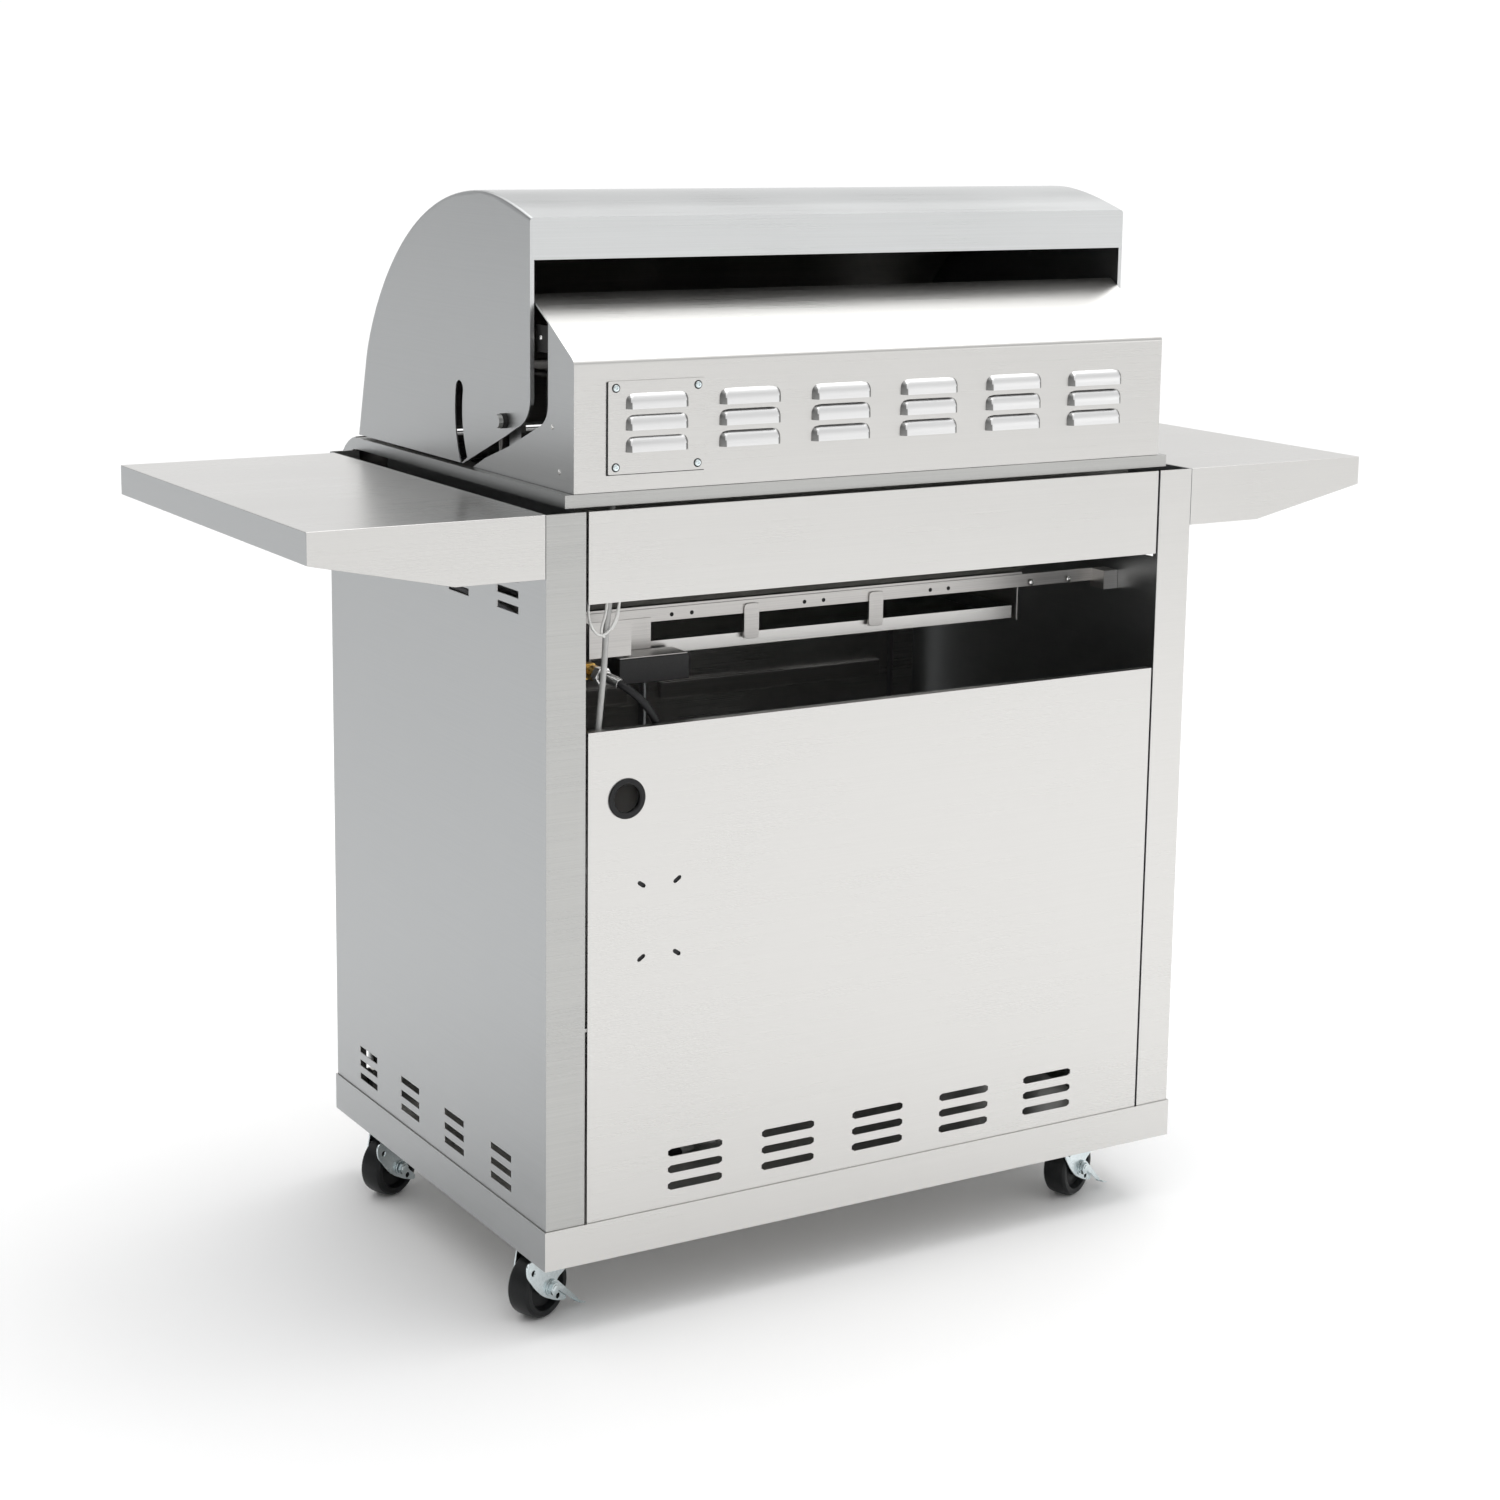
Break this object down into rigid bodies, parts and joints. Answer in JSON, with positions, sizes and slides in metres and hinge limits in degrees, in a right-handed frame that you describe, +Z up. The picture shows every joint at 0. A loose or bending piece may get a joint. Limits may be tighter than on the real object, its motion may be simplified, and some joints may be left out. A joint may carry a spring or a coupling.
{
  "type": "gas barbecue grill",
  "caption": "Gas barbecue on a wheeled steel cabinet, with a lifting domed hood, louvred rear housing, side shelves, hinged doors, turning knobs, a drip tray and swivel casters.",
  "frame": {"origin": "on the floor under the middle of the whole grill, at the bottom of the casters", "axes": "+X runs along the grill's long side, to the right of a person cooking at the front; +Y points from the front, with its doors and knobs, to the rear; +Z is up"},
  "size_m": [1.44, 0.68, 1.284],
  "materials": {
    "cabinet_steel": "brushed stainless sheet",
    "hood_steel": "brushed stainless sheet, slightly darker",
    "firebox_steel": "plain mill-finish stainless",
    "pipe_steel": "dark satin steel pipe",
    "zinc_plated_steel": "bright zinc plate",
    "polished_steel": "polished",
    "zinc_casting": "cast, satin",
    "grate_iron": "matte, seasoned",
    "brass": "machined",
    "black_rubber": "matte",
    "caster_rubber": "satin",
    "black_plastic": "moulded",
    "grey_plastic": "satin",
    "pale_plastic": "satin"
  },
  "bodies": {
    "cart": {"base_pan": "cabinet_steel", "side_panel_left": "cabinet_steel", "side_panel_right": "cabinet_steel", "rear_panel": "cabinet_steel", "rear_apron": "cabinet_steel", "cable_grommet": "black_rubber", "side_shelf_left": "cabinet_steel", "side_shelf_right": "cabinet_steel", "front_rail": "cabinet_steel", "firebox": "firebox_steel", "control_panel": "cabinet_steel", "rear_housing": "cabinet_steel", "louvre_cover_plate": "cabinet_steel", "burner_1": "firebox_steel", "burner_2": "firebox_steel", "burner_3": "firebox_steel", "burner_4": "firebox_steel", "cooking_grate_left": "grate_iron", "cooking_grate_right": "grate_iron", "warming_rack": "polished_steel", "rear_burner": "firebox_steel", "gas_manifold": "pipe_steel", "head_frame": "zinc_plated_steel", "gas_inlet": "brass", "gas_hose": "black_rubber", "gas_regulator": "zinc_casting", "light_cable": "grey_plastic", "igniter_wire": "pale_plastic", "light_transformer": "black_plastic", "igniter_module": "grey_plastic"},
    "hood": {"hood_shell": "hood_steel", "hood_liner": "firebox_steel", "hood_handle": "polished_steel", "hood_thermometer": "polished_steel"},
    "left_door": {"door_left": "cabinet_steel", "door_handle_left": "polished_steel"},
    "right_door": {"door_right": "cabinet_steel", "door_handle_right": "polished_steel"},
    "tray": {"drip_tray": "cabinet_steel"},
    "button": {"light_button": "black_plastic"},
    "stem_1": {"knob_stem_1": "brass"},
    "dial_1": {"knob_1": "polished_steel"},
    "stem_2": {"knob_stem_2": "brass"},
    "dial_2": {"knob_2": "polished_steel"},
    "stem_3": {"knob_stem_3": "brass"},
    "dial_3": {"knob_3": "polished_steel"},
    "stem_4": {"knob_stem_4": "brass"},
    "dial_4": {"knob_4": "polished_steel"},
    "stem_5": {"knob_stem_5": "brass"},
    "dial_5": {"knob_5": "polished_steel"},
    "fork_rear_right": {"caster_fork_rear_right": "zinc_plated_steel"},
    "wheel_rear_right": {"caster_wheel_rear_right": "caster_rubber"},
    "brake_rear_right": {"caster_brake_rear_right": "zinc_plated_steel"},
    "fork_rear_left": {"caster_fork_rear_left": "zinc_plated_steel"},
    "wheel_rear_left": {"caster_wheel_rear_left": "caster_rubber"},
    "brake_rear_left": {"caster_brake_rear_left": "zinc_plated_steel"},
    "fork_front_right": {"caster_fork_front_right": "zinc_plated_steel"},
    "wheel_front_right": {"caster_wheel_front_right": "caster_rubber"},
    "fork_front_left": {"caster_fork_front_left": "zinc_plated_steel"},
    "wheel_front_left": {"caster_wheel_front_left": "caster_rubber"}
  },
  "joints": [
    {"name": "hood_hinge", "type": "hinge", "parent": "cart", "child": "hood", "pos_m": [0, 0.166, 1.029], "axis": [-1, 0, 0], "range_deg": [0, 80]},
    {"name": "left_door_hinge", "type": "hinge", "parent": "cart", "child": "left_door", "pos_m": [-0.392, -0.255, 0.437], "axis": [0, 0, -1], "range_deg": [0, 110]},
    {"name": "right_door_hinge", "type": "hinge", "parent": "cart", "child": "right_door", "pos_m": [0.392, -0.255, 0.437], "axis": [0, 0, 1], "range_deg": [0, 110]},
    {"name": "drip_tray_slide", "type": "slide", "parent": "cart", "child": "tray", "axis": [0, -1, 0], "range_m": [0, 0.35]},
    {"name": "light_button_press", "type": "slide", "parent": "cart", "child": "button", "axis": [0, 1, 0], "range_m": [0, 0.003], "stiffness_N_per_m": 200, "springref_m": -0.002},
    {"name": "knob_1_push", "type": "slide", "parent": "cart", "child": "stem_1", "axis": [0, 1, 0], "range_m": [0, 0.004], "stiffness_N_per_m": 800, "springref_m": -0.002},
    {"name": "knob_1_turn", "type": "hinge", "parent": "stem_1", "child": "dial_1", "pos_m": [-0.276, -0.32, 0.852], "axis": [0, -1, 0], "range_deg": [0, 210]},
    {"name": "knob_2_push", "type": "slide", "parent": "cart", "child": "stem_2", "axis": [0, 1, 0], "range_m": [0, 0.004], "stiffness_N_per_m": 800, "springref_m": -0.002},
    {"name": "knob_2_turn", "type": "hinge", "parent": "stem_2", "child": "dial_2", "pos_m": [-0.092, -0.32, 0.852], "axis": [0, -1, 0], "range_deg": [0, 210]},
    {"name": "knob_3_push", "type": "slide", "parent": "cart", "child": "stem_3", "axis": [0, 1, 0], "range_m": [0, 0.004], "stiffness_N_per_m": 800, "springref_m": -0.002},
    {"name": "knob_3_turn", "type": "hinge", "parent": "stem_3", "child": "dial_3", "pos_m": [0.092, -0.32, 0.852], "axis": [0, -1, 0], "range_deg": [0, 210]},
    {"name": "knob_4_push", "type": "slide", "parent": "cart", "child": "stem_4", "axis": [0, 1, 0], "range_m": [0, 0.004], "stiffness_N_per_m": 800, "springref_m": -0.002},
    {"name": "knob_4_turn", "type": "hinge", "parent": "stem_4", "child": "dial_4", "pos_m": [0.276, -0.32, 0.852], "axis": [0, -1, 0], "range_deg": [0, 210]},
    {"name": "knob_5_push", "type": "slide", "parent": "cart", "child": "stem_5", "axis": [0, 1, 0], "range_m": [0, 0.004], "stiffness_N_per_m": 800, "springref_m": -0.002},
    {"name": "knob_5_turn", "type": "hinge", "parent": "stem_5", "child": "dial_5", "pos_m": [0.368, -0.32, 0.852], "axis": [0, -1, 0], "range_deg": [0, 210]},
    {"name": "swivel_rear_right", "type": "hinge", "parent": "cart", "child": "fork_rear_right", "pos_m": [0.382, 0.25, 0.09], "axis": [0, 0, 1], "continuous": true},
    {"name": "roll_rear_right", "type": "hinge", "parent": "fork_rear_right", "child": "wheel_rear_right", "pos_m": [0.42, 0.26692, 0.038], "axis": [-0.4067, 0.9135, 0], "continuous": true},
    {"name": "brake_rear_right", "type": "hinge", "parent": "fork_rear_right", "child": "brake_rear_right", "pos_m": [0.42, 0.26692, 0.038], "axis": [-0.4067, 0.9135, 0], "range_deg": [0, 20]},
    {"name": "swivel_rear_left", "type": "hinge", "parent": "cart", "child": "fork_rear_left", "pos_m": [-0.382, 0.25, 0.09], "axis": [0, 0, 1], "continuous": true},
    {"name": "roll_rear_left", "type": "hinge", "parent": "fork_rear_left", "child": "wheel_rear_left", "pos_m": [-0.344, 0.26692, 0.038], "axis": [-0.4067, 0.9135, 0], "continuous": true},
    {"name": "brake_rear_left", "type": "hinge", "parent": "fork_rear_left", "child": "brake_rear_left", "pos_m": [-0.344, 0.26692, 0.038], "axis": [-0.4067, 0.9135, 0], "range_deg": [0, 20]},
    {"name": "swivel_front_right", "type": "hinge", "parent": "cart", "child": "fork_front_right", "pos_m": [0.382, -0.174, 0.09], "axis": [0, 0, 1], "continuous": true},
    {"name": "roll_front_right", "type": "hinge", "parent": "fork_front_right", "child": "wheel_front_right", "pos_m": [0.42, -0.15708, 0.038], "axis": [-0.4067, 0.9135, 0], "continuous": true},
    {"name": "swivel_front_left", "type": "hinge", "parent": "cart", "child": "fork_front_left", "pos_m": [-0.382, -0.174, 0.09], "axis": [0, 0, 1], "continuous": true},
    {"name": "roll_front_left", "type": "hinge", "parent": "fork_front_left", "child": "wheel_front_left", "pos_m": [-0.344, -0.15708, 0.038], "axis": [-0.4067, 0.9135, 0], "continuous": true}
  ]
}
